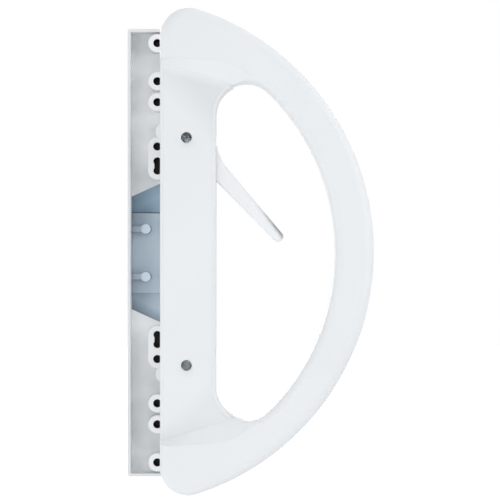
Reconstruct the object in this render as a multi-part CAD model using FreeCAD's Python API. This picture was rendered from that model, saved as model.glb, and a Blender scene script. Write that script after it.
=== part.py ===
import FreeCAD
import Part
import math
import os

# Sliding patio door handle, in millimetres.
# X runs from the screw line towards the pull loop, Y from the room through the door, Z up.
# The origin lies midway between the two mounting screws, on the room face of the door.

# Door and mounting screws
DOOR_THICKNESS = 41.3
SCREW_SPACING = 100.0
SCREW_HOLE_RADIUS = 2.35

# Interior plate
HANDLE_HEIGHT = 214.0
PLATE_LEFT = 11.6
PLATE_RIGHT = 13.0
PLATE_DEPTH = 13.0
PLATE_SKIN = 2.8
PLATE_WALL = 2.2
PLATE_BEVEL = 1.3
SCREW_DIMPLE_RADIUS = 5.0
SCREW_DIMPLE_DEPTH = 0.9
SCREW_TUBE_RADIUS = 4.0
RIB_HEIGHTS = (78.0, 14.0, -14.0, -78.0)
RIB_THICKNESS = 1.8
RIB_RELIEF = 3.0

# Pull loop
LOOP_REACH = 82.2
LOOP_WIDTH = 16.9
LOOP_FRONT = 18.0
LOOP_BACK = 1.5
LOOP_FRONT_ROUND = 5.0
LOOP_BACK_BEVEL = 3.6
OPENING_HEIGHT = 148.0
OPENING_CORNER = 13.5
OPENING_FRONT_ROUND = 3.5

# Shoulder between the raised loop and the lower plate
SHOULDER_CENTRE_X = 11.4
SHOULDER_RIM_RADIUS = 22.9
SHOULDER_RIM_FALL = 3.3
SHOULDER_FOOT_RADIUS = 15.1
SHOULDER_FOOT_FALL = 16.3

# Latch lever, drawn with its blade hanging down
LEVER_PIVOT_Z = 38.8
LEVER_DROP = 47.7
BLADE_OFFSET = 8.15
BLADE_REACH = 50.9
BLADE_ROOT_REACH = 15.0
BLADE_ROOT_WIDTH = 7.3
BLADE_TIP_WIDTH = 4.6
BLADE_DEPTH = 6.8
BLADE_BEVEL = 0.5
FLARE_RADIUS = 20.0
FLARE_STAND_OFF = 0.3
FLARE_TOP = 7.4
HORN_WIDTH = 1.2
ARM_RISE = 2.5
HUB_RADIUS = 5.5
HUB_BORE_DEPTH = 3.8
NECK_RADIUS = 3.6
LOWER_ROLL_RADIUS = 1.4
THUMB_ROLL_RADIUS = 3.2

# Pivot, retainer and tailpiece
PIVOT_RADIUS = 2.2
BUSH_WALL = 0.95
RETAINER_THICKNESS = 1.0
RETAINER_HEIGHT = 1.3
RETAINER_DISC_RADIUS = 7.0
RETAINER_LEG_WIDTH = 4.6
RETAINER_SCREWS = ((-7.0, 46.0), (-7.0, 31.6), (4.6, 26.6))
RETAINER_SCREW_RADIUS = 1.25
RETAINER_HEAD_RADIUS = 2.1
RETAINER_HEAD_HEIGHT = 1.0
RETAINER_SCREW_LENGTH = 5.0
SCREW_PAD_RADIUS = 2.3
WASHER_THICKNESS = 0.35
WASHER_RADIUS = 5.2
TAILPIECE_WIDTH = 5.0
TAILPIECE_THICKNESS = 1.5
TAILPIECE_REACH = 24.0
TAILPIECE_INSET = 4.4

# Exterior pull
PULL_LEFT = 29.65
PULL_RIGHT = 9.0
PULL_HEIGHT = 210.5
PULL_WALL = 1.4
PULL_FLOOR = 2.0
TRAY_DEPTH = 7.0
PULL_CORNER = 1.2
PULL_BEVEL = 1.1
BOSS_COLUMN_X = -15.7
BOSS_RADIUS = 4.3
BOSS_HOLE_RADIUS = 1.9
BOSS_HOLE_DEPTH = 7.6
BOSS_INSETS = (6.6, 24.55, 34.4)
SIDE_BOSS_X = -12.2
SIDE_BOSS_HEIGHT = 57.0
SLOT_HEIGHTS = (43.05, 38.6)
SLOT_LOBE_RADIUS = 1.8
SLOT_WAIST = 2.7
GRIP_EDGE_HEIGHT = 26.1
GRIP_EDGE_SLOPE = 0.454
GRIP_FLOOR_HEIGHT = 19.3
GRIP_RAMP = 0.6
GRIP_ROUND = 2.5
GRIP_BACK_WALL = 3.2
GRIP_POST_X = -21.4
GRIP_POST_HEIGHT = 11.3
GRIP_POST_RADIUS = 2.3
GRIP_POST_DROP = 4.0
GRIP_RIB_THICKNESS = 2.6
GRIP_RIB_DROP = 9.0

# Threaded posts between the two castings
POST_RADIUS = 4.0
POST_BORE_RADIUS = 2.1
POST_SEAT_DEPTH = 5.0
POST_BOSS_RADIUS = 5.6

# Clearances
RUNNING_GAP = 0.4
BEARING_GAP = 0.05
SEAT_GAP = 0.05
HOLE_GAP = 0.3

# Worked-out sizes
PLATE_CENTRE_X = (PLATE_RIGHT - PLATE_LEFT) / 2
END_RADIUS = (PLATE_RIGHT + PLATE_LEFT) / 2
END_CENTRE_Z = HANDLE_HEIGHT / 2 - END_RADIUS
OPENING_REACH = LOOP_REACH - LOOP_WIDTH
CORNER_CENTRE_X = PLATE_RIGHT + OPENING_CORNER
CORNER_CENTRE_Z = OPENING_HEIGHT / 2 - OPENING_CORNER
SCREW_Z = SCREW_SPACING / 2
CEILING_Y = PLATE_SKIN - PLATE_DEPTH
LEVER_FRONT_Y = CEILING_Y + RUNNING_GAP
LEVER_BACK_Y = LEVER_FRONT_Y + BLADE_DEPTH
BUSH_RADIUS = PIVOT_RADIUS + BEARING_GAP + BUSH_WALL
PIVOT_END_Y = LEVER_FRONT_Y + HUB_BORE_DEPTH - RUNNING_GAP
RETAINER_BACK_Y = -RETAINER_HEIGHT
RETAINER_FRONT_Y = RETAINER_BACK_Y - RETAINER_THICKNESS
NECK_END_Y = RETAINER_BACK_Y + RUNNING_GAP
PULL_RIM_Y = DOOR_THICKNESS
TRAY_FLOOR_Y = PULL_RIM_Y + TRAY_DEPTH
PULL_TOP = PULL_HEIGHT / 2
BOSS_HEIGHTS = tuple(PULL_TOP - inset for inset in BOSS_INSETS)
OUTSIDE = 5.0


def vec(x, y, z):
    return FreeCAD.Vector(x, y, z)


def line(start, end):
    return Part.makeLine(start, end)


def arc(centre_x, centre_z, radius, start, end, y):
    """Arc in an upright plane, with angles in degrees from +X towards +Z."""
    points = []
    for angle in (start, (start + end) / 2, end):
        turn = math.radians(angle)
        points.append(vec(centre_x + radius * math.cos(turn), y, centre_z + radius * math.sin(turn)))
    return Part.Arc(*points).toShape()


def prism(edges, depth):
    """Solid swept along Y from a closed outline."""
    return Part.Face(Part.Wire(edges)).extrude(vec(0, depth, 0))


def rod(x, z, radius, start_y, end_y):
    """Round bar along Y."""
    return Part.makeCylinder(radius, end_y - start_y, vec(x, start_y, z), vec(0, 1, 0))


def block(low, high):
    """Box between two opposite corners."""
    return Part.makeBox(high[0] - low[0], high[1] - low[1], high[2] - low[2], vec(*low))


def bar(start, end, width, start_y, end_y):
    """Flat bar along Y whose section runs between two round ends in X and Z."""
    run = vec(end[0] - start[0], 0, end[1] - start[1])
    middle = block((0, start_y, -width / 2), (run.Length, end_y, width / 2))
    middle.rotate(vec(0, 0, 0), vec(0, 1, 0), -math.degrees(math.atan2(run.z, run.x)))
    middle.translate(vec(start[0], 0, start[1]))
    ends = [rod(point[0], point[1], width / 2, start_y, end_y) for point in (start, end)]
    return middle.multiFuse(ends).removeSplitter()


def edges_at(shape, y):
    """Edges that lie wholly in the upright plane at this Y."""
    found = []
    for edge in shape.Edges:
        box = edge.BoundBox
        if abs(box.YMin - y) + abs(box.YMax - y) < 1e-4:
            found.append(edge)
    return found


def both_ways(heights):
    """The given heights above and below the middle."""
    return [sign * height for height in heights for sign in (1, -1)]


def handle_outline(y):
    """Outer D: straight left side, round ends, and one large arc tangent to both ends."""
    reach = LOOP_REACH - PLATE_CENTRE_X
    radius = (reach**2 + END_CENTRE_Z**2 - END_RADIUS**2) / (2 * (reach - END_RADIUS))
    tangent = math.degrees(math.atan2(END_CENTRE_Z, radius - reach))
    return [
        line(vec(-PLATE_LEFT, y, -END_CENTRE_Z), vec(-PLATE_LEFT, y, END_CENTRE_Z)),
        arc(PLATE_CENTRE_X, END_CENTRE_Z, END_RADIUS, 180, tangent, y),
        arc(LOOP_REACH - radius, 0, radius, tangent, -tangent, y),
        arc(PLATE_CENTRE_X, -END_CENTRE_Z, END_RADIUS, -tangent, -180, y),
    ]


def opening_outline(y):
    """Hand opening: straight left side, two corners, and one arc tangent to both corners."""
    run = OPENING_REACH - CORNER_CENTRE_X
    radius = (run**2 + CORNER_CENTRE_Z**2 - OPENING_CORNER**2) / (2 * (run - OPENING_CORNER))
    tangent = math.degrees(math.atan2(CORNER_CENTRE_Z, radius - run))
    return [
        line(vec(PLATE_RIGHT, y, -CORNER_CENTRE_Z), vec(PLATE_RIGHT, y, CORNER_CENTRE_Z)),
        arc(CORNER_CENTRE_X, CORNER_CENTRE_Z, OPENING_CORNER, 180, tangent, y),
        arc(OPENING_REACH - radius, 0, radius, tangent, -tangent, y),
        arc(CORNER_CENTRE_X, -CORNER_CENTRE_Z, OPENING_CORNER, -tangent, -180, y),
    ]


def shoulder_outline(radius, fall, y):
    """Edge of the lower plate field: a falling line that runs into a quarter turn, mirrored about Z."""
    turn = math.radians(90 - fall)
    bend_x = SHOULDER_CENTRE_X + radius * math.cos(turn)
    bend_z = CORNER_CENTRE_Z + radius * math.sin(turn)
    left = -PLATE_LEFT - OUTSIDE
    left_z = bend_z + (bend_x - left) * math.tan(math.radians(fall))
    right = SHOULDER_CENTRE_X + radius
    return [
        line(vec(left, y, -left_z), vec(left, y, left_z)),
        line(vec(left, y, left_z), vec(bend_x, y, bend_z)),
        arc(SHOULDER_CENTRE_X, CORNER_CENTRE_Z, radius, 90 - fall, 0, y),
        line(vec(right, y, CORNER_CENTRE_Z), vec(right, y, -CORNER_CENTRE_Z)),
        arc(SHOULDER_CENTRE_X, -CORNER_CENTRE_Z, radius, 0, fall - 90, y),
        line(vec(bend_x, y, -bend_z), vec(left, y, -left_z)),
    ]


def opening_edges(shape, y):
    """Edges of the hand opening in the upright plane at this Y."""
    return [edge for edge in edges_at(shape, y) if edge.BoundBox.XMin > PLATE_RIGHT / 2]


def loop_slab():
    """The whole D at the loop's depth, with its front edges rounded and its back edges bevelled."""
    depth = LOOP_FRONT - LOOP_BACK
    slab = prism(handle_outline(-LOOP_FRONT), depth)
    slab = slab.makeFillet(LOOP_FRONT_ROUND, edges_at(slab, -LOOP_FRONT))
    slab = slab.makeChamfer(LOOP_BACK_BEVEL, edges_at(slab, -LOOP_BACK))
    slab = slab.cut(prism(opening_outline(-LOOP_FRONT), depth))
    slab = slab.makeFillet(OPENING_FRONT_ROUND, opening_edges(slab, -LOOP_FRONT))
    return slab.makeChamfer(LOOP_BACK_BEVEL, opening_edges(slab, -LOOP_BACK))


def loop_body():
    """Rounded loop, with the field of the plate cut away and its ends bevelled down to the plate."""
    body = loop_slab()
    foot = Part.Wire(shoulder_outline(SHOULDER_FOOT_RADIUS, SHOULDER_FOOT_FALL, -PLATE_DEPTH))
    rim_edges = shoulder_outline(SHOULDER_RIM_RADIUS, SHOULDER_RIM_FALL, -LOOP_FRONT)
    bevel = Part.makeLoft([foot, Part.Wire(rim_edges)], True, True)
    return body.cut(bevel).cut(prism(rim_edges, -OUTSIDE)).cut(plate_field())


def plate_field():
    """Prism through the whole depth inside the foot of the shoulder."""
    edges = shoulder_outline(SHOULDER_FOOT_RADIUS, SHOULDER_FOOT_FALL, -PLATE_DEPTH)
    return prism(edges, PLATE_DEPTH + OUTSIDE)


def plate_slab(inset, start_y, end_y):
    """Slab with the plate's outline, drawn in by an inset: straight sides and round ends."""
    low = (PLATE_CENTRE_X, -END_CENTRE_Z)
    high = (PLATE_CENTRE_X, END_CENTRE_Z)
    return bar(low, high, 2 * (END_RADIUS - inset), start_y, end_y)


def slot_height():
    """Lower and upper end of the lever's slot, clear of the swinging lever."""
    outer = PLATE_RIGHT + FLARE_STAND_OFF + HORN_WIDTH
    swept = math.hypot(outer, FLARE_TOP)
    top = LEVER_PIVOT_Z + math.sqrt(swept**2 - (PLATE_RIGHT - PLATE_WALL) ** 2) + RUNNING_GAP
    low = lever_point(BLADE_ROOT_REACH, -BLADE_ROOT_WIDTH / 2)
    tip = lever_point(BLADE_REACH, -BLADE_TIP_WIDTH / 2)
    slope = (tip.z - low.z) / (tip.x - low.x)
    return low.z + slope * (PLATE_RIGHT - low.x) - RUNNING_GAP, top


def plate_hollow():
    """Hollow of the plate's back, less the tubes, ribs, pivot boss and screw pads that stand in it."""
    hollow = plate_slab(PLATE_WALL, CEILING_Y, OUTSIDE)
    stands = [rod(0, z, SCREW_TUBE_RADIUS, CEILING_Y, 0) for z in (SCREW_Z, -SCREW_Z)]
    stands.append(rod(0, LEVER_PIVOT_Z, PIVOT_RADIUS, CEILING_Y, PIVOT_END_Y))
    for x, z in RETAINER_SCREWS:
        stands.append(rod(x, z, SCREW_PAD_RADIUS, CEILING_Y, RETAINER_FRONT_Y))
    for z in RIB_HEIGHTS:
        low = (-PLATE_LEFT, CEILING_Y, z - RIB_THICKNESS / 2)
        stands.append(block(low, (PLATE_RIGHT, -RIB_RELIEF, z + RIB_THICKNESS / 2)))
    for stand in stands:
        hollow = hollow.cut(stand)
    return hollow


def interior_handle():
    plate = prism(handle_outline(-PLATE_DEPTH), PLATE_DEPTH)
    plate = plate.cut(prism(opening_outline(-PLATE_DEPTH), PLATE_DEPTH))
    plate = plate.makeChamfer(PLATE_BEVEL, edges_at(plate, -PLATE_DEPTH))
    body = loop_body().fuse(plate.common(plate_field()))
    body = body.fuse(plate_slab(0, -LOOP_BACK - LOOP_BACK_BEVEL, 0)).removeSplitter()
    body = body.cut(plate_hollow())
    for z in (SCREW_Z, -SCREW_Z):
        body = body.cut(rod(0, z, SCREW_HOLE_RADIUS, -LOOP_FRONT, OUTSIDE))
        radii = (SCREW_DIMPLE_RADIUS, SCREW_HOLE_RADIUS)
        mouth = vec(0, -PLATE_DEPTH, z)
        body = body.cut(Part.makeCone(*radii, SCREW_DIMPLE_DEPTH, mouth, vec(0, 1, 0)))
    pilot_start = RETAINER_BACK_Y - RETAINER_SCREW_LENGTH - RUNNING_GAP
    for x, z in RETAINER_SCREWS:
        body = body.cut(rod(x, z, RETAINER_SCREW_RADIUS + SEAT_GAP, pilot_start, OUTSIDE))
    slot_low, slot_top = slot_height()
    slot_start = PLATE_RIGHT - PLATE_WALL - RUNNING_GAP
    slot_end = PLATE_RIGHT + RUNNING_GAP
    return body.cut(block((slot_start, CEILING_Y, slot_low), (slot_end, OUTSIDE, slot_top)))


def lever_point(along, above, y=0.0):
    """Point of the lever from its pivot: along the blade, and above the blade's middle line."""
    turn = math.radians(LEVER_DROP)
    side = BLADE_OFFSET + above
    x = along * math.cos(turn) + side * math.sin(turn)
    z = LEVER_PIVOT_Z - along * math.sin(turn) + side * math.cos(turn)
    return vec(x, y, z)


def lever_outline(y):
    """Hub, slim inner arm, concave flare at the plate's edge, and tapering blade with a round tip."""
    root_top = lever_point(BLADE_ROOT_REACH, BLADE_ROOT_WIDTH / 2, y)
    tip_top = lever_point(BLADE_REACH, BLADE_TIP_WIDTH / 2, y)
    tip_end = lever_point(BLADE_REACH + BLADE_TIP_WIDTH / 2, 0, y)
    tip_low = lever_point(BLADE_REACH, -BLADE_TIP_WIDTH / 2, y)
    root_low = lever_point(BLADE_ROOT_REACH, -BLADE_ROOT_WIDTH / 2, y)
    down = (tip_top - root_top).normalize()
    out = vec(-down.z, 0, down.x)
    flare_x = PLATE_RIGHT + FLARE_STAND_OFF
    centre_x = flare_x + FLARE_RADIUS
    centre_z = root_top.z + (FLARE_RADIUS - (centre_x - root_top.x) * out.x) / out.z
    centre = vec(centre_x, y, centre_z)
    flare_end = centre - out * FLARE_RADIUS
    flare_top_z = LEVER_PIVOT_Z + FLARE_TOP
    flare_top_x = centre_x - math.sqrt(FLARE_RADIUS**2 - (centre_z - flare_top_z) ** 2)
    flare_top = vec(flare_top_x, y, flare_top_z)
    end_turn = math.degrees(math.atan2(-out.z, -out.x)) % 360
    top_turn = math.degrees(math.atan2(flare_top_z - centre_z, flare_top_x - centre_x)) % 360
    flare = arc(centre_x, centre_z, FLARE_RADIUS, top_turn, end_turn, y)
    horn = vec(flare_top_x - HORN_WIDTH, y, flare_top_z)
    arm_end = vec(flare_top_x - HORN_WIDTH, y, LEVER_PIVOT_Z + ARM_RISE)
    arm_start = vec(0, y, LEVER_PIVOT_Z + ARM_RISE)
    pivot = vec(0, y, LEVER_PIVOT_Z)
    return [
        line(pivot, arm_start),
        line(arm_start, arm_end),
        line(arm_end, horn),
        line(horn, flare_top),
        flare,
        line(flare_end, tip_top),
        Part.Arc(tip_top, tip_end, tip_low).toShape(),
        line(tip_low, root_low),
        line(root_low, pivot),
    ]


def half_width(along):
    """Half the blade's width at a distance along it."""
    taper = (BLADE_TIP_WIDTH - BLADE_ROOT_WIDTH) / (BLADE_REACH - BLADE_ROOT_REACH)
    return (BLADE_ROOT_WIDTH + taper * (along - BLADE_ROOT_REACH)) / 2


def roll_cone(corner, out, run, start_radius, end_radius):
    """Cone that touches both the front and the side of the blade along one of its edges."""
    growth = (end_radius - start_radius) / run.Length
    direction = vec(*run).normalize()
    apex = corner - direction * (start_radius / growth)
    centre = corner + run + out * -end_radius + vec(0, end_radius, 0)
    axis = centre - apex
    height = axis.Length + OUTSIDE
    slope = end_radius / math.sqrt(axis.Length**2 - end_radius**2)
    return Part.makeCone(0, height * slope, height, apex, axis)


def edge_roll(side, start_radius, end_radius):
    """Cutter along a front edge of the blade, whose round grows evenly from the root to the tip."""
    start_along = BLADE_ROOT_REACH + BLADE_ROOT_WIDTH / 2
    end_along = BLADE_REACH + BLADE_TIP_WIDTH
    start = lever_point(start_along, side * half_width(start_along), LEVER_FRONT_Y)
    end = lever_point(end_along, side * half_width(end_along), LEVER_FRONT_Y)
    run = end - start
    out = vec(-run.z, 0, run.x).normalize() * side
    sections = []
    for corner, radius in ((start, start_radius), (end, end_radius)):
        places = ((-radius, radius), (-radius, -OUTSIDE), (OUTSIDE, -OUTSIDE), (OUTSIDE, radius))
        points = [corner + out * across + vec(0, back, 0) for across, back in places]
        sections.append(Part.makePolygon(points + points[:1]))
    trim = Part.makeLoft(sections, True, True)
    return trim.cut(roll_cone(start, out, run, start_radius, end_radius))


def latch_lever():
    blade = prism(lever_outline(LEVER_FRONT_Y), BLADE_DEPTH)
    long_edges = edges_at(blade, LEVER_FRONT_Y) + edges_at(blade, LEVER_BACK_Y)
    inner_end = PLATE_RIGHT + BLADE_BEVEL + HORN_WIDTH
    outside = [edge for edge in long_edges if edge.BoundBox.XMax > inner_end]
    blade = blade.makeChamfer(BLADE_BEVEL, outside)
    blade = blade.cut(edge_roll(1, BLADE_BEVEL, THUMB_ROLL_RADIUS))
    blade = blade.cut(edge_roll(-1, BLADE_BEVEL, LOWER_ROLL_RADIUS))
    body = blade.fuse(rod(0, LEVER_PIVOT_Z, HUB_RADIUS, LEVER_FRONT_Y, LEVER_BACK_Y)).removeSplitter()
    body = body.fuse(rod(0, LEVER_PIVOT_Z, NECK_RADIUS, LEVER_BACK_Y, NECK_END_Y))
    bore_end = LEVER_FRONT_Y + HUB_BORE_DEPTH
    body = body.cut(rod(0, LEVER_PIVOT_Z, BUSH_RADIUS + SEAT_GAP, LEVER_FRONT_Y, bore_end))
    return body.cut(tailpiece_bar(SEAT_GAP, OUTSIDE))


def tailpiece_bar(grow, end_y):
    """Flat bar on the pivot line, grown all round by a clearance."""
    wide = TAILPIECE_WIDTH / 2 + grow
    thick = TAILPIECE_THICKNESS / 2 + grow
    start_y = NECK_END_Y - TAILPIECE_INSET - grow
    bar_solid = block((-thick, start_y, -wide), (thick, end_y, wide))
    bar_solid.translate(vec(0, 0, LEVER_PIVOT_Z))
    return bar_solid


def tailpiece():
    solid = tailpiece_bar(0, TAILPIECE_REACH)
    return solid.makeChamfer(TAILPIECE_THICKNESS / 3, edges_at(solid, TAILPIECE_REACH))


def pivot_bush():
    start_y = LEVER_FRONT_Y
    end_y = LEVER_FRONT_Y + HUB_BORE_DEPTH
    sleeve = rod(0, LEVER_PIVOT_Z, BUSH_RADIUS, start_y, end_y)
    return sleeve.cut(rod(0, LEVER_PIVOT_Z, PIVOT_RADIUS + BEARING_GAP, start_y, end_y))


def friction_washer():
    """Dished ring: its inner edge bears on the lever, its outer edge on the retainer."""
    inner = NECK_RADIUS + HOLE_GAP
    rise = RETAINER_FRONT_Y - LEVER_BACK_Y - WASHER_THICKNESS
    section = [
        vec(inner, LEVER_BACK_Y, 0),
        vec(WASHER_RADIUS, LEVER_BACK_Y + rise, 0),
        vec(WASHER_RADIUS, RETAINER_FRONT_Y, 0),
        vec(inner, LEVER_BACK_Y + WASHER_THICKNESS, 0),
    ]
    face = Part.Face(Part.makePolygon(section + section[:1]))
    ring = face.revolve(vec(0, 0, 0), vec(0, 1, 0), 360)
    ring.translate(vec(0, 0, LEVER_PIVOT_Z))
    return ring


def retainer_plate():
    """Stamped disc round the lever's neck with one leg to each screw pad."""
    pivot = (0, LEVER_PIVOT_Z)
    disc = rod(0, LEVER_PIVOT_Z, RETAINER_DISC_RADIUS, RETAINER_FRONT_Y, RETAINER_BACK_Y)
    legs = []
    for place in RETAINER_SCREWS:
        legs.append(bar(pivot, place, RETAINER_LEG_WIDTH, RETAINER_FRONT_Y, RETAINER_BACK_Y))
    plate = disc.multiFuse(legs).removeSplitter()
    plate = plate.cut(rod(0, LEVER_PIVOT_Z, NECK_RADIUS + HOLE_GAP, -PLATE_DEPTH, OUTSIDE))
    for x, z in RETAINER_SCREWS:
        plate = plate.cut(rod(x, z, RETAINER_SCREW_RADIUS + SEAT_GAP, -PLATE_DEPTH, OUTSIDE))
    return plate


def retainer_screws():
    screws = []
    for x, z in RETAINER_SCREWS:
        shank = rod(x, z, RETAINER_SCREW_RADIUS, RETAINER_BACK_Y - RETAINER_SCREW_LENGTH, RETAINER_BACK_Y)
        head = rod(x, z, RETAINER_HEAD_RADIUS, RETAINER_BACK_Y, RETAINER_BACK_Y + RETAINER_HEAD_HEIGHT)
        screws.append(shank.fuse(head))
    return Part.makeCompound(screws)


def grip_edge(x):
    """Half length of the finger hollow at the tray floor."""
    return GRIP_EDGE_HEIGHT + GRIP_EDGE_SLOPE * (x + PULL_LEFT)


def grip_wedge(skin, left, right, base):
    """Wedge of the finger hollow, grown outwards by a skin, from a base plane off the tray floor."""
    end_slant = math.sqrt(1 + GRIP_RAMP**2 * (1 + GRIP_EDGE_SLOPE**2))
    floor_slant = math.sqrt(1 + (GRIP_RAMP * GRIP_EDGE_SLOPE) ** 2)
    floor_z = GRIP_FLOOR_HEIGHT + skin * (end_slant - floor_slant) / GRIP_RAMP
    corners = {}
    for side, x in (("left", left), ("right", right)):
        edge_z = grip_edge(x) + (skin * end_slant - base) / GRIP_RAMP
        depth = GRIP_RAMP * (grip_edge(x) - GRIP_FLOOR_HEIGHT) + skin * floor_slant
        for sign in (1, -1):
            corners[side, "edge", sign] = vec(x, TRAY_FLOOR_Y + base, sign * edge_z)
            corners[side, "floor", sign] = vec(x, TRAY_FLOOR_Y + depth, sign * floor_z)

    rings = []
    for level in ("edge", "floor"):
        rings.append([("left", level, 1), ("right", level, 1), ("right", level, -1), ("left", level, -1)])
    for side in ("left", "right"):
        rings.append([(side, "edge", 1), (side, "floor", 1), (side, "floor", -1), (side, "edge", -1)])
    for sign in (1, -1):
        upper = [("left", "edge", sign), ("right", "edge", sign)]
        rings.append(upper + [("right", "floor", sign), ("left", "floor", sign)])
    faces = []
    for ring in rings:
        points = [corners[name] for name in ring]
        faces.append(Part.Face(Part.makePolygon(points + points[:1])))
    return Part.makeSolid(Part.makeShell(faces))


def pull_shell():
    """Shallow tray with rounded edges and the hollow finger grip that bulges from its floor."""
    back_y = TRAY_FLOOR_Y + PULL_FLOOR
    tray = block((-PULL_LEFT, PULL_RIM_Y, -PULL_TOP), (PULL_RIGHT, back_y, PULL_TOP))
    upright = [edge for edge in tray.Edges if edge.BoundBox.YLength > TRAY_DEPTH]
    tray = tray.makeFillet(PULL_CORNER, upright)
    tray = tray.makeChamfer(PULL_BEVEL, edges_at(tray, back_y))
    grip = grip_wedge(PULL_FLOOR, -PULL_LEFT, PULL_RIGHT, PULL_FLOOR / 2)
    outer = [edge for edge in grip.Edges if edge.BoundBox.YMax > back_y]
    shell = tray.fuse(grip.makeFillet(GRIP_ROUND, outer)).removeSplitter()
    hollow_low = (PULL_WALL - PULL_LEFT, PULL_RIM_Y - OUTSIDE, PULL_WALL - PULL_TOP)
    hollow = block(hollow_low, (PULL_RIGHT - PULL_WALL, TRAY_FLOOR_Y, PULL_TOP - PULL_WALL))
    grip_hollow = grip_wedge(0, PULL_WALL - PULL_LEFT, PULL_RIGHT - GRIP_BACK_WALL, -TRAY_DEPTH / 2)
    return shell.cut(hollow).cut(grip_hollow)


def pull_bosses():
    """Screw bosses, long bosses with their slots, and the seats of the threaded posts, without holes."""
    bosses = []
    for z in both_ways(BOSS_HEIGHTS):
        bosses.append(rod(BOSS_COLUMN_X, z, BOSS_RADIUS, PULL_RIM_Y, TRAY_FLOOR_Y))
    for sign in (1, -1):
        bosses.append(rod(SIDE_BOSS_X, sign * SIDE_BOSS_HEIGHT, BOSS_RADIUS, PULL_RIM_Y, TRAY_FLOOR_Y))
        start = (BOSS_COLUMN_X, sign * SLOT_HEIGHTS[-1])
        end = (BOSS_COLUMN_X, sign * SCREW_Z)
        bosses.append(bar(start, end, 2 * BOSS_RADIUS, PULL_RIM_Y, TRAY_FLOOR_Y))
        bosses.append(rod(0, sign * SCREW_Z, POST_BOSS_RADIUS, PULL_RIM_Y, TRAY_FLOOR_Y))
    return bosses


def pull_posts():
    """Two posts on the grip floor, each tied to the left wall by a rib."""
    posts = []
    for z in (GRIP_POST_HEIGHT, -GRIP_POST_HEIGHT):
        floor_y = TRAY_FLOOR_Y + GRIP_RAMP * (grip_edge(GRIP_POST_X) - GRIP_FLOOR_HEIGHT)
        post_end = floor_y + PULL_FLOOR / 2
        posts.append(rod(GRIP_POST_X, z, GRIP_POST_RADIUS, PULL_RIM_Y + GRIP_POST_DROP, post_end))
        rib_low = (PULL_WALL / 2 - PULL_LEFT, PULL_RIM_Y + GRIP_RIB_DROP, z - GRIP_RIB_THICKNESS / 2)
        rib_high = (GRIP_POST_X, floor_y, z + GRIP_RIB_THICKNESS / 2)
        posts.append(block(rib_low, rib_high))
    return posts


def exterior_pull():
    body = pull_shell()
    for piece in pull_bosses() + pull_posts():
        body = body.fuse(piece)
    body = body.removeSplitter()
    hole_end = PULL_RIM_Y + BOSS_HOLE_DEPTH
    places = [(BOSS_COLUMN_X, z, BOSS_HOLE_RADIUS) for z in both_ways(BOSS_HEIGHTS + (SCREW_Z,))]
    places += [(SIDE_BOSS_X, z, BOSS_HOLE_RADIUS) for z in both_ways((SIDE_BOSS_HEIGHT,))]
    places += [(BOSS_COLUMN_X, z, SLOT_LOBE_RADIUS) for z in both_ways(SLOT_HEIGHTS)]
    for x, z, radius in places:
        body = body.cut(rod(x, z, radius, PULL_RIM_Y - OUTSIDE, hole_end))
    for sign in (1, -1):
        waist = [(BOSS_COLUMN_X, sign * z) for z in SLOT_HEIGHTS]
        body = body.cut(bar(waist[0], waist[1], SLOT_WAIST, PULL_RIM_Y - OUTSIDE, hole_end))
        seat_end = PULL_RIM_Y + POST_SEAT_DEPTH
        body = body.cut(rod(0, sign * SCREW_Z, POST_RADIUS + SEAT_GAP, PULL_RIM_Y - OUTSIDE, seat_end))
    return body


def mounting_posts():
    posts = []
    for z in (SCREW_Z, -SCREW_Z):
        post = rod(0, z, POST_RADIUS, 0, PULL_RIM_Y + POST_SEAT_DEPTH)
        posts.append(post.cut(rod(0, z, POST_BORE_RADIUS, 0, PULL_RIM_Y + POST_SEAT_DEPTH)))
    return Part.makeCompound(posts)


PIECES = {
    "interior_handle": interior_handle,
    "latch_lever": latch_lever,
    "pivot_bush": pivot_bush,
    "friction_washer": friction_washer,
    "retainer_plate": retainer_plate,
    "retainer_screws": retainer_screws,
    "tailpiece": tailpiece,
    "exterior_pull": exterior_pull,
    "mounting_posts": mounting_posts,
}

os.makedirs("parts", exist_ok=True)
for name, make in PIECES.items():
    shape = make()
    print(name, shape.isValid(), len(shape.Solids), round(shape.Volume))
    shape.exportStep("parts/" + name + ".step")
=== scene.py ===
import math

import bpy
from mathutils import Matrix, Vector

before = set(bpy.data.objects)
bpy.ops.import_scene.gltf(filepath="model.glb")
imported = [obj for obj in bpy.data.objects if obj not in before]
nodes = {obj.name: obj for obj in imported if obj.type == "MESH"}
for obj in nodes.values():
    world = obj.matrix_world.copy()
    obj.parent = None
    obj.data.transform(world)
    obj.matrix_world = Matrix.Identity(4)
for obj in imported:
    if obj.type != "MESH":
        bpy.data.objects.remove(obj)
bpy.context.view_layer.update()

scene = bpy.context.scene
scene.view_settings.view_transform = "Standard"

# Lengths of the object are in millimetres: x to the right, y away from the room, z up.
# A face is matched with a surface to within the skin.
MM = 0.001
RIGHT = (1, 0, 0)
BACK = (0, 1, 0)
FRONT = (0, -1, 0)
UP = (0, 0, 1)
SKIN = 0.1

# Interior handle: painted shade on the plate, darker towards the foot of each shoulder.
# A corner has its side of the plate, where the painted shade starts, how dark it gets and its foot.
SCREW_Z = 50.0
PLATE_FRONT = 13.0
SHOULDER_CLIMB = 1.0
CORNERS = ((1, 38.5, 1.0, 76.5), (-1, 43.0, 0.55, 82.0))
CORNER_END = 51.0
CORNER_RUN = (0.75, 0.66)
FOOT_RISE = (0.27, 0.963)
FOOT_FADE = (4.0, 0.3)
FLAT_FACING = (0.8, 0.95)
TUBE_REACH = 2.4

# Latch lever: painted shade on its upper front edge, more and more towards the tip
LEVER_RUN = (0.673, 0, -0.740)
LEVER_UPPER_SIDE = (0.740, 0, 0.673)
EDGE_FACING = (0.3, 0.85)
SHADE_START = 5.0
SHADE_END = 18.0
LEVER_BACK = 3.0
SHADE_FRONT = 6.5

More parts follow.
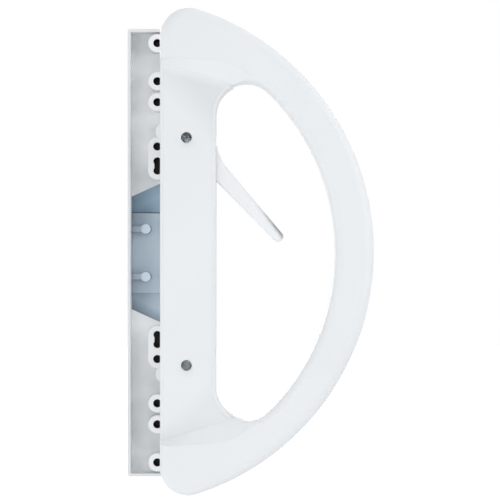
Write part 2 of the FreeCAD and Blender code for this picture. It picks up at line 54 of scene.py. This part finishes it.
# Mounting posts
BORE_REACH = 2.15
POST_FRONT_Y = 0.5

# Exterior pull: the tray with its bosses, holes and slots
PULL_RIM_Y = 41.3
POST_SEAT_Y = 46.3
TRAY_FLOOR_Y = 48.3
WALL_X = -28.25
TRAY_RIGHT_X = 7.6
TRAY_END_Z = 103.85
HOLE_X = -15.7
SIDE_HOLE = (-12.2, 57.0)
HOLES = [(HOLE_X, z) for z in (98.65, 80.7, 70.85, 50.0)] + [SIDE_HOLE]
SLOT_Z = (36.5, 45.2)
HOLE_REACH = 1.95
SEAT_REACH = 4.1

# Share of the tray's height, from its lower end, and how much painted shade lies there; painted light
# where it is low
TRAY_SHADE_BANDS = ((0.0, 0.0), (0.05, 0.95), (0.26, 0.6), (0.34, 0.08),
              (0.65, 0.92), (0.75, 0.2), (0.88, 0.5), (0.95, 0.9))

# Finger hollow of the pull: creases with the darkness of their painted shade, and painted shade beside
# the wall and the edges
GRIP_RIGHT_X = 6.0
GRIP_MIDDLE_Z = 25.0
# Painted shade in dark lines along the creases
CREASES = ((19.3, 0.75), (-19.3, 0.2))
CREASE_HALF_WIDTH = 0.3
CREASE_SHADE = 0.15
# Painted light on faces of the hollow that turn towards the front and up, painted shade on the others
LIT_SIDE = (0, -0.98, 0.18)
LIT_FACING = (0.72, 0.95)
WALL_SHADE_WIDTH = 11.0
WALL_SHADE_BANDS = ((0.1, 0.45), (0.34, 0.25), (0.62, 0.25), (0.86, 0.6), (0.94, 0.5))
EDGE_DEPTH = 3.4
EDGE_SHADE = (0.35, 0.62)
RAMP_FACING = (0.86, 0.94)
RAMP_TILT = 0.5

# Faces are told apart by how far they look along y
TOWARDS_BACK = 0.2
STEEP = 0.5

# Colours
WHITE = (0.83, 0.85, 0.865)
LEVER_WHITE = (0.87, 0.88, 0.89)
# Grey of the painted shade on the lever's upper front edge
LEVER_SHADE_GREY = (0.30, 0.305, 0.31)
PULL_WHITE = (0.79, 0.805, 0.815)
# Boss tops in a lighter copy of the pull's white: painted light
BOSS_LIT_WHITE = (0.88, 0.895, 0.91)
# Lit and shaded tones of the pull's white inside the tray: painted light and painted shade
TRAY_LIT_WHITE = (0.90, 0.915, 0.925)
TRAY_SHADED_WHITE = (0.68, 0.70, 0.715)
# Shaded and lit tones of the finger hollow's blue-grey: painted shade and painted light
SHADED_ZINC = (0.33, 0.455, 0.56)
LIT_ZINC = (0.64, 0.73, 0.82)
# Dark blue of the painted shade in the finger hollow
HOLLOW_SHADE = (0.03, 0.078, 0.125)
# Near-black painted shade inside the deep holes and slots
BORE_SHADE_DARK = (0.006, 0.006, 0.008)
BORE_SHADE_LIGHT = (0.014, 0.014, 0.017)
BRIGHT_STEEL = (0.68, 0.725, 0.755)
SEAT_STEEL = (0.50, 0.535, 0.56)
# Darker copy of the posts' plating on their front ends: painted shade
POST_END_SHADE_STEEL = (0.30, 0.32, 0.33)
PLATED_STEEL = (0.45, 0.45, 0.435)
SPRING_STEEL = (0.36, 0.36, 0.37)
IVORY = (0.78, 0.77, 0.71)
# Darkest tone of the painted shade at the foot of the shoulders
CORNER_SHADE_TONE = 0.89

# A noise keeps mostly between these two values
NOISE_LOW = 0.3
NOISE_HIGH = 0.7

# Unevenness of the finishes: darkest tone, and how far the roughness strays to both sides
COAT_TONE = 0.975
COAT_STRAY = (0.05, 0.06)
COAT_SHINE = 0.3
STEEL_TONE = 0.9
METAL_STRAY = (0.08, 0.1)
ZINC_METALLIC = 0.15
PLASTIC_TONE = 0.93
PLASTIC_GLOW = 0.1
TRAY_CLOUD = 0.025
FACING_CLOUD = 0.03
# Patchiness of the painted shade on the lever's edge
SHADE_PATCHES = (0.7, 1)
SHADE_NOISE = (0.3, 0.55)
EDGE_SAMPLES = 16

# Sockets of a colour mix
MIX_FACTOR = 0
MIX_BELOW = 6
MIX_ABOVE = 7
MIX_RESULT = 2

# Drawn lines of steel run along the axis whose stretch is small
LINES_ALONG_Y = (1, 0.05, 1)
LINES_ALONG_Z = (1, 1, 0.1)

# Camera in front of the plate
CAMERA_PLACE = (0.0279, -0.752, -0.0084)
CAMERA_LENS = 121.4
CAMERA_SENSOR = 36
CAMERA_SHIFT_UP = 0.0412
CAMERA_CLIP = 0.05

# Soft lights: name, place and width in metres, power in watts
LAMP_AIM = (0.02, 0, 0)
LAMPS = (
    ("left", (-1.3, -0.5, 0), 0.8, 3.9),
    ("left_front", (-0.9, -1.2, -0.2), 0.8, 4.2),
    ("below", (0, -0.7, -1.2), 0.8, 4.0),
    ("front", (0.1, -1.9, 0.2), 0.8, 3.5),
    ("right", (0.8, -0.4, 0.15), 0.5, 2.5),
    ("top", (0.2, -0.6, 1.3), 0.8, 1.7),
    ("rim_right", (1.1, 0.05, 0.8), 0.8, 2.6),
    ("rim_top", (0.25, 0.05, 1.35), 0.8, 2.5),
    ("rim_left", (-1.35, -0.05, 0.1), 0.8, 1.3),
    ("back", (-0.5, 1.7, 0.7), 1.2, 17),
)
BACKDROP_WHITE = (1, 1, 1)
SKY_COLOUR = (0.95, 0.975, 1)
SKY_STRENGTH = 0.45
FLOOR_GREY = (0.8, 0.8, 0.8)
FLOOR_GLOW = 0.80
FLOOR_HALF = 30.0
FLOOR_Z = -1.4


# Node helpers

def empty_tree(owner):
    """Empties the node tree of a material or world."""
    owner.use_nodes = True
    owner.node_tree.nodes.clear()
    return owner.node_tree


def new_material(name):
    """New material with its node tree and its main shader."""
    material = bpy.data.materials.new(name)
    tree = empty_tree(material)
    output = tree.nodes.new("ShaderNodeOutputMaterial")
    shader = tree.nodes.new("ShaderNodeBsdfPrincipled")
    tree.links.new(shader.outputs["BSDF"], output.inputs["Surface"])
    return material, tree, shader


def place(tree, stretch=(1, 1, 1)):
    """Object coordinates, stretched along the axes."""
    coords = tree.nodes.new("ShaderNodeTexCoord")
    mapping = tree.nodes.new("ShaderNodeMapping")
    mapping.inputs["Scale"].default_value = stretch
    tree.links.new(coords.outputs["Object"], mapping.inputs["Vector"])
    return mapping.outputs["Vector"]


def noise(tree, vector, scale, detail=2.0, roughness=0.5):
    """Soft random value over the surface."""
    node = tree.nodes.new("ShaderNodeTexNoise")
    node.inputs["Scale"].default_value = scale
    node.inputs["Detail"].default_value = detail
    node.inputs["Roughness"].default_value = roughness
    tree.links.new(vector, node.inputs["Vector"])
    return node.outputs["Fac"]


def ramp(tree, value, stops):
    """Colour ramp through (position, colour) stops."""
    node = tree.nodes.new("ShaderNodeValToRGB")
    elements = node.color_ramp.elements
    while len(elements) < len(stops):
        elements.new(0.5)
    for element, (position, colour) in zip(elements, stops):
        element.position = position
        element.color = (*colour, 1)
    tree.links.new(value, node.inputs["Fac"])
    return node.outputs["Color"]


def grey_ramp(tree, value, stops):
    """Ramp through (position, amount) stops."""
    return ramp(tree, value, [(position, (amount,) * 3) for position, amount in stops])


def spread(tree, value, low, high, start=NOISE_LOW, end=NOISE_HIGH):
    """Maps a value that runs from start to end onto low to high."""
    node = tree.nodes.new("ShaderNodeMapRange")
    for socket, number in (("From Min", start), ("From Max", end), ("To Min", low), ("To Max", high)):
        node.inputs[socket].default_value = number
    tree.links.new(value, node.inputs["Value"])
    return node.outputs["Result"]


def combine(tree, operation, *values):
    """Adds, multiplies or otherwise joins several values."""
    result = values[0]
    for value in values[1:]:
        node = tree.nodes.new("ShaderNodeMath")
        node.operation = operation
        tree.links.new(result, node.inputs[0])
        tree.links.new(value, node.inputs[1])
        result = node.outputs["Value"]
    return result


def measure(tree, kind, direction):
    """Length of a texture coordinate along a direction of the object."""
    coords = tree.nodes.new("ShaderNodeTexCoord")
    dot = tree.nodes.new("ShaderNodeVectorMath")
    dot.operation = "DOT_PRODUCT"
    dot.inputs[1].default_value = direction
    tree.links.new(coords.outputs[kind], dot.inputs[0])
    return dot.outputs["Value"]


def along(tree, direction, low, high, start, end):
    """Value that runs from low to high between two places along a direction."""
    return spread(tree, measure(tree, "Object", direction), low, high, start * MM, end * MM)


def facing(tree, direction, low, high, start, end):
    """Value that runs from low to high as the surface turns towards a direction."""
    return spread(tree, measure(tree, "Normal", direction), low, high, start, end)


def at_height(tree, middle, half_width, amount):
    """The amount on a narrow level band of the object, and none elsewhere."""
    node = tree.nodes.new("ShaderNodeMath")
    node.operation = "COMPARE"
    node.inputs[1].default_value = middle * MM
    node.inputs[2].default_value = half_width * MM
    tree.links.new(measure(tree, "Object", UP), node.inputs[0])
    return spread(tree, node.outputs["Value"], 0, amount, 0, 1)


def shade(colour, factor):
    """Darker tone of a colour."""
    return tuple(channel * factor for channel in colour)


def tint(tree, shader, value, dark, light):
    """Base colour that runs from dark to light with a noise."""
    stops = ((NOISE_LOW, dark), (NOISE_HIGH, light))
    tree.links.new(ramp(tree, value, stops), shader.inputs["Base Color"])


def gloss(tree, shader, value, roughness, stray):
    """Roughness that strays below and above its middle with a noise."""
    below, above = stray
    level = spread(tree, value, roughness - below, roughness + above)
    tree.links.new(level, shader.inputs["Roughness"])


def overlay(tree, shader, factor, colour):
    """Lays a second colour over the base colour where the factor is high."""
    mix = tree.nodes.new("ShaderNodeMix")
    mix.data_type = "RGBA"
    below = shader.inputs["Base Color"].links[0].from_socket
    tree.links.new(factor, mix.inputs[MIX_FACTOR])
    tree.links.new(below, mix.inputs[MIX_BELOW])
    mix.inputs[MIX_ABOVE].default_value = (*colour, 1)
    tree.links.new(mix.outputs[MIX_RESULT], shader.inputs["Base Color"])


def bump(tree, shader, height, strength, depth, edge_radius=0):
    """Fine relief of a depth, over edges that are rounded off where a radius is given."""
    node = tree.nodes.new("ShaderNodeBump")
    if edge_radius:
        soft_edge = tree.nodes.new("ShaderNodeBevel")
        soft_edge.samples = EDGE_SAMPLES
        soft_edge.inputs["Radius"].default_value = edge_radius * MM
        tree.links.new(soft_edge.outputs["Normal"], node.inputs["Normal"])
    node.inputs["Strength"].default_value = strength
    node.inputs["Distance"].default_value = depth * MM
    tree.links.new(height, node.inputs["Height"])
    tree.links.new(node.outputs["Normal"], shader.inputs["Normal"])


# Materials

def coat_base(name, colour, roughness, edge_radius):
    """Satin baked coating: soft unevenness of colour and gloss, and a fine orange peel."""
    material, tree, shader = new_material(name)
    vector = place(tree)
    soft = noise(tree, vector, scale=28, detail=3)
    fine = noise(tree, vector, scale=260, detail=4, roughness=0.6)
    peel = noise(tree, vector, scale=900, detail=2)
    tint(tree, shader, soft, shade(colour, COAT_TONE), colour)
    gloss(tree, shader, fine, roughness, COAT_STRAY)
    shader.inputs["Specular IOR Level"].default_value = COAT_SHINE
    bump(tree, shader, peel, strength=0.12, depth=0.06, edge_radius=edge_radius)
    return material, tree, shader


def coat(name, colour, roughness, edge_radius):
    """Even coating."""
    material, _, _ = coat_base(name, colour, roughness, edge_radius)
    return material


def shaded_corner_coat(name, colour, roughness, edge_radius):
    """Coating with painted shade on the plate in its inner corners, at the foot of the two shoulders."""
    material, tree, shader = coat_base(name, colour, roughness, edge_radius)
    plate_top = PLATE_FRONT + SKIN
    on_plate = along(tree, FRONT, 1, 0, plate_top, plate_top + SHOULDER_CLIMB)
    flat = facing(tree, FRONT, 0, 1, *FLAT_FACING)
    run_x, run_z = CORNER_RUN
    rise_x, rise_z = FOOT_RISE
    fade_start, fade_end = FOOT_FADE
    # Painted shade on the plate, darker towards the foot of each shoulder
    for side, start, amount, foot in CORNERS:
        growth = along(tree, (run_x, 0, run_z * side), 0, amount, start, CORNER_END)
        clear = along(tree, (rise_x, 0, rise_z * side), 1, 0, foot - fade_start, foot - fade_end)
        corner_shade = combine(tree, "MULTIPLY", on_plate, flat, growth, clear)
        overlay(tree, shader, corner_shade, shade(colour, CORNER_SHADE_TONE))
    return material


def edge_shade_coat(name, colour, roughness, edge_radius, shaded_colour):
    """Coating with painted shade on the upper edge, more and more towards the tip."""
    material, tree, shader = coat_base(name, colour, roughness, edge_radius)
    # Painted shade on the upper front edge of the lever, growing towards the tip
    growth = along(tree, LEVER_RUN, 0, 1, SHADE_START, SHADE_END)
    edge = facing(tree, LEVER_UPPER_SIDE, 0, 1, *EDGE_FACING)
    front = along(tree, FRONT, 0, 1, LEVER_BACK, SHADE_FRONT)
    patches = spread(tree, noise(tree, place(tree), scale=420, detail=4), *SHADE_PATCHES, *SHADE_NOISE)
    overlay(tree, shader, combine(tree, "MULTIPLY", growth, edge, front, patches), shaded_colour)
    return material


def banded_shade_coat(name, lit_tone, shaded_tone, roughness, edge_radius):
    """Coating inside the tray with painted shade in bands along its height, and painted light where the
    bands are thin.
    """
    material, tree, shader = coat_base(name, lit_tone, roughness, edge_radius)
    # Painted shade in bands along the tray's height, painted light where the bands are thin
    height = along(tree, UP, 0, 1, -TRAY_END_Z, TRAY_END_Z)
    cloud = spread(tree, noise(tree, place(tree), scale=45, detail=3), -TRAY_CLOUD, TRAY_CLOUD)
    overlay(tree, shader, grey_ramp(tree, combine(tree, "ADD", height, cloud), TRAY_SHADE_BANDS), shaded_tone)
    return material


def shaded_casting(name, shaded_colour, lit_colour, roughness):
    """Blue-grey finger hollow: painted light on faces that turn towards the front and up, painted shade
    on the others, beside the left wall, up to the slanted edges and on the creases.
    """
    material, tree, shader = new_material(name)
    vector = place(tree)
    # Painted light on faces that turn towards the front and up, painted shade on the others
    lit_share = measure(tree, "Normal", LIT_SIDE)
    cloud = noise(tree, vector, scale=60, detail=4, roughness=0.55)
    lit_share = combine(tree, "ADD", lit_share, spread(tree, cloud, -FACING_CLOUD, FACING_CLOUD))
    stops = tuple(zip(LIT_FACING, (shaded_colour, lit_colour)))
    tree.links.new(ramp(tree, lit_share, stops), shader.inputs["Base Color"])

    # Painted shade beside the left wall
    beside_wall = along(tree, RIGHT, 1, 0, WALL_X, WALL_X + WALL_SHADE_WIDTH)
    level = along(tree, UP, 0, 1, -GRIP_MIDDLE_Z, GRIP_MIDDLE_Z)
    bands = grey_ramp(tree, level, WALL_SHADE_BANDS)
    overlay(tree, shader, combine(tree, "MULTIPLY", beside_wall, bands), HOLLOW_SHADE)

    # Painted shade on the ramps up to the slanted edges
    near_edge = along(tree, BACK, 1, 0, TRAY_FLOOR_Y, TRAY_FLOOR_Y + EDGE_DEPTH)
    on_ramp = facing(tree, FRONT, 1, 0, *RAMP_FACING)
    tilt = facing(tree, UP, *EDGE_SHADE, -RAMP_TILT, RAMP_TILT)
    overlay(tree, shader, combine(tree, "MULTIPLY", near_edge, on_ramp, tilt), HOLLOW_SHADE)

    # Painted shade: dark lines along the creases
    for crease_z, darkness in CREASES:
        crease = at_height(tree, crease_z, CREASE_HALF_WIDTH, darkness)
        overlay(tree, shader, crease, shade(shaded_colour, CREASE_SHADE))

    grain = noise(tree, vector, scale=1500, detail=3)
    gloss(tree, shader, grain, roughness, METAL_STRAY)
    shader.inputs["Metallic"].default_value = ZINC_METALLIC
    bump(tree, shader, grain, strength=0.2, depth=0.05)
    return material


def shade_bore(name):
    """Near-black painted shade in a deep screw hole, over a thread relief."""
    material, tree, shader = new_material(name)
    vector = place(tree)
    grain = noise(tree, vector, scale=1200, detail=3)
    # Near-black painted shade
    tint(tree, shader, grain, BORE_SHADE_DARK, BORE_SHADE_LIGHT)
    gloss(tree, shader, grain, 0.55, stray=(0.1, 0.1))
    thread = tree.nodes.new("ShaderNodeTexWave")
    thread.bands_direction = "Y"
    thread.inputs["Scale"].default_value = 400
    tree.links.new(vector, thread.inputs["Vector"])
    bump(tree, shader, thread.outputs["Fac"], strength=0.6, depth=0.3)
    return material


def steel(name, colour, roughness, stretch):
    """Plated steel with fine drawn lines along one axis."""
    material, tree, shader = new_material(name)
    lines = noise(tree, place(tree, stretch), scale=700, detail=4, roughness=0.6)
    blotch = noise(tree, place(tree), scale=90, detail=3)
    tint(tree, shader, blotch, shade(colour, STEEL_TONE), colour)
    gloss(tree, shader, lines, roughness, METAL_STRAY)
    shader.inputs["Metallic"].default_value = 1
    bump(tree, shader, lines, strength=0.15, depth=0.03)
    return material


def plastic(name, colour):
    """Moulded plastic with a fine grain."""
    material, tree, shader = new_material(name)
    grain = noise(tree, place(tree), scale=1500, detail=3)
    tint(tree, shader, grain, shade(colour, PLASTIC_TONE), colour)
    gloss(tree, shader, grain, 0.5, stray=(0.05, 0.1))
    shader.inputs["Subsurface Weight"].default_value = PLASTIC_GLOW
    bump(tree, shader, grain, strength=0.1, depth=0.04)
    return material


# Finishes of the nodes

def dress(name, *materials):
    """Gives a CAD node its materials in place of the plain one."""
    slots = nodes[name].data.materials
    slots.clear()
    for material in materials:
        slots.append(material)


def pull_finish(face):
    """Names the finish of a face of the pull by where its middle lies."""
    x, y, z = face.center / MM
    z = abs(z)
    in_hole = any(math.hypot(x - hole_x, z - hole_z) < HOLE_REACH for hole_x, hole_z in HOLES)
    in_slot = abs(x - HOLE_X) < HOLE_REACH and SLOT_Z[0] < z < SLOT_Z[1]
    below_rim = y > PULL_RIM_Y + SKIN
    if (in_hole or in_slot) and below_rim:
        return "hole"
    if math.hypot(x, z - SCREW_Z) < SEAT_REACH and y > POST_SEAT_Y - SKIN:
        return "seat"
    if face.normal.y > TOWARDS_BACK:
        return "shell"
    if WALL_X - SKIN < x < GRIP_RIGHT_X and y > TRAY_FLOOR_Y + SKIN:
        return "hollow"
    if WALL_X + SKIN < x < GRIP_RIGHT_X and z < GRIP_MIDDLE_Z and below_rim:
        return "hollow"
    if WALL_X + SKIN < x < TRAY_RIGHT_X - SKIN and z < TRAY_END_Z - SKIN:
        return "tray" if below_rim else "boss"
    return "shell"


def is_bore(face, reach):
    """Whether a face is a side wall of a mounting screw's bore."""
    x, _, z = face.center / MM
    return math.hypot(x, abs(z) - SCREW_Z) < reach and abs(face.normal.y) < STEEP


def is_post_end(face):
    """Whether a face is the front end of a mounting post."""
    return face.center.y < POST_FRONT_Y * MM and face.normal.y < -STEEP


bright = steel("bright_bore", BRIGHT_STEEL, roughness=0.20, stretch=LINES_ALONG_Y)
plated = steel("plated_steel", PLATED_STEEL, roughness=0.34, stretch=LINES_ALONG_Y)
# Painted shade: a darker copy of the posts' plating for their front ends
post_end_shade = steel("post_end", POST_END_SHADE_STEEL, roughness=0.40, stretch=LINES_ALONG_Z)
spring = steel("spring_steel", SPRING_STEEL, roughness=0.35, stretch=LINES_ALONG_Z)
pull_finishes = {
    "shell": coat("white_pull", PULL_WHITE, roughness=0.46, edge_radius=0.6),
    "hole": shade_bore("shade_bore"),
    "hollow": shaded_casting("shaded_casting", SHADED_ZINC, LIT_ZINC, roughness=0.5),
    "seat": steel("post_seat", SEAT_STEEL, roughness=0.23, stretch=LINES_ALONG_Z),
    "tray": banded_shade_coat("tray_coat", TRAY_LIT_WHITE, TRAY_SHADED_WHITE, roughness=0.46, edge_radius=0.8),
    # Painted light: boss tops in a lighter white than the rest of the pull
    "boss": coat("boss_coat", BOSS_LIT_WHITE, roughness=0.44, edge_radius=0.5),
}

# Material slots of the screw bores and of the posts' front ends, as the nodes are dressed below
BORE_SLOT = 1
END_SLOT = 2

dress("interior_handle", shaded_corner_coat("white_handle", WHITE, roughness=0.42, edge_radius=2.0), bright)
dress("latch_lever",
      edge_shade_coat("white_lever", LEVER_WHITE, roughness=0.40, edge_radius=0.6, shaded_colour=LEVER_SHADE_GREY))
dress("pivot_bush", plastic("bush_plastic", IVORY))
dress("friction_washer", spring)
dress("retainer_plate", plated)
dress("retainer_screws", plated)
dress("tailpiece", plated)
dress("exterior_pull", *pull_finishes.values())
dress("mounting_posts", plated, bright, post_end_shade)

pull_slots = list(pull_finishes)
for face in nodes["exterior_pull"].data.polygons:
    face.material_index = pull_slots.index(pull_finish(face))

for face in nodes["interior_handle"].data.polygons:
    if is_bore(face, TUBE_REACH):
        face.material_index = BORE_SLOT
for face in nodes["mounting_posts"].data.polygons:
    if is_post_end(face):
        face.material_index = END_SLOT
    elif is_bore(face, BORE_REACH):
        face.material_index = BORE_SLOT


# Studio

def make_camera():
    """Camera that looks straight at the front, with the frame shifted up."""
    camera = bpy.data.objects.new("camera", bpy.data.cameras.new("camera"))
    camera.data.sensor_width = CAMERA_SENSOR
    camera.data.lens = CAMERA_LENS
    camera.data.clip_start = CAMERA_CLIP
    camera.data.shift_y = CAMERA_SHIFT_UP
    camera.location = CAMERA_PLACE
    camera.rotation_euler = (math.radians(90), 0, 0)
    scene.collection.objects.link(camera)
    scene.camera = camera


def lamp(name, location, width, power):
    """Square soft light that faces the middle of the object."""
    data = bpy.data.lights.new(name, "AREA")
    data.size = width
    data.energy = power
    light = bpy.data.objects.new(name, data)
    light.location = location
    aim = Vector(LAMP_AIM) - Vector(location)
    light.rotation_euler = aim.to_track_quat("-Z", "Y").to_euler()
    scene.collection.objects.link(light)


def background_rays(tree):
    """1 for the rays that show the white background, 0 for those that light the object."""
    path = tree.nodes.new("ShaderNodeLightPath")
    kinds = ("Is Camera Ray", "Is Transmission Ray", "Is Glossy Ray")
    return combine(tree, "MAXIMUM", *(path.outputs[kind] for kind in kinds))


def background(tree, colour, strength):
    """Even light from all sides."""
    node = tree.nodes.new("ShaderNodeBackground")
    node.inputs["Color"].default_value = (*colour, 1)
    node.inputs["Strength"].default_value = strength
    return node.outputs["Background"]


def make_world():
    """White background over a weak bluish sky."""
    scene.world = bpy.data.worlds.new("studio")
    tree = empty_tree(scene.world)
    output = tree.nodes.new("ShaderNodeOutputWorld")
    mix = tree.nodes.new("ShaderNodeMixShader")
    tree.links.new(background_rays(tree), mix.inputs["Fac"])
    tree.links.new(background(tree, SKY_COLOUR, SKY_STRENGTH), mix.inputs[1])
    tree.links.new(background(tree, BACKDROP_WHITE, 1), mix.inputs[2])
    tree.links.new(mix.outputs["Shader"], output.inputs["Surface"])


def floor_material():
    """Pale matt floor, white where no shadow falls."""
    material = bpy.data.materials.new("floor")
    tree = empty_tree(material)
    output = tree.nodes.new("ShaderNodeOutputMaterial")
    matt = tree.nodes.new("ShaderNodeBsdfDiffuse")
    matt.inputs["Color"].default_value = (*FLOOR_GREY, 1)
    glow = tree.nodes.new("ShaderNodeEmission")
    glow.inputs["Color"].default_value = (*BACKDROP_WHITE, 1)
    level = spread(tree, background_rays(tree), 0, FLOOR_GLOW, 0, 1)
    tree.links.new(level, glow.inputs["Strength"])
    both = tree.nodes.new("ShaderNodeAddShader")
    tree.links.new(matt.outputs["BSDF"], both.inputs[0])
    tree.links.new(glow.outputs["Emission"], both.inputs[1])
    tree.links.new(both.outputs["Shader"], output.inputs["Surface"])
    return material


def make_floor():
    """Floor well below the object."""
    mesh = bpy.data.meshes.new("floor")
    corners = [(FLOOR_HALF * x, FLOOR_HALF * y, FLOOR_Z) for x, y in ((-1, -1), (1, -1), (1, 1), (-1, 1))]
    mesh.from_pydata(corners, [], [(0, 1, 2, 3)])
    mesh.materials.append(floor_material())
    floor = bpy.data.objects.new("floor", mesh)
    scene.collection.objects.link(floor)
    return floor


make_camera()
for lamp_row in LAMPS:
    lamp(*lamp_row)
make_world()
floor = make_floor()
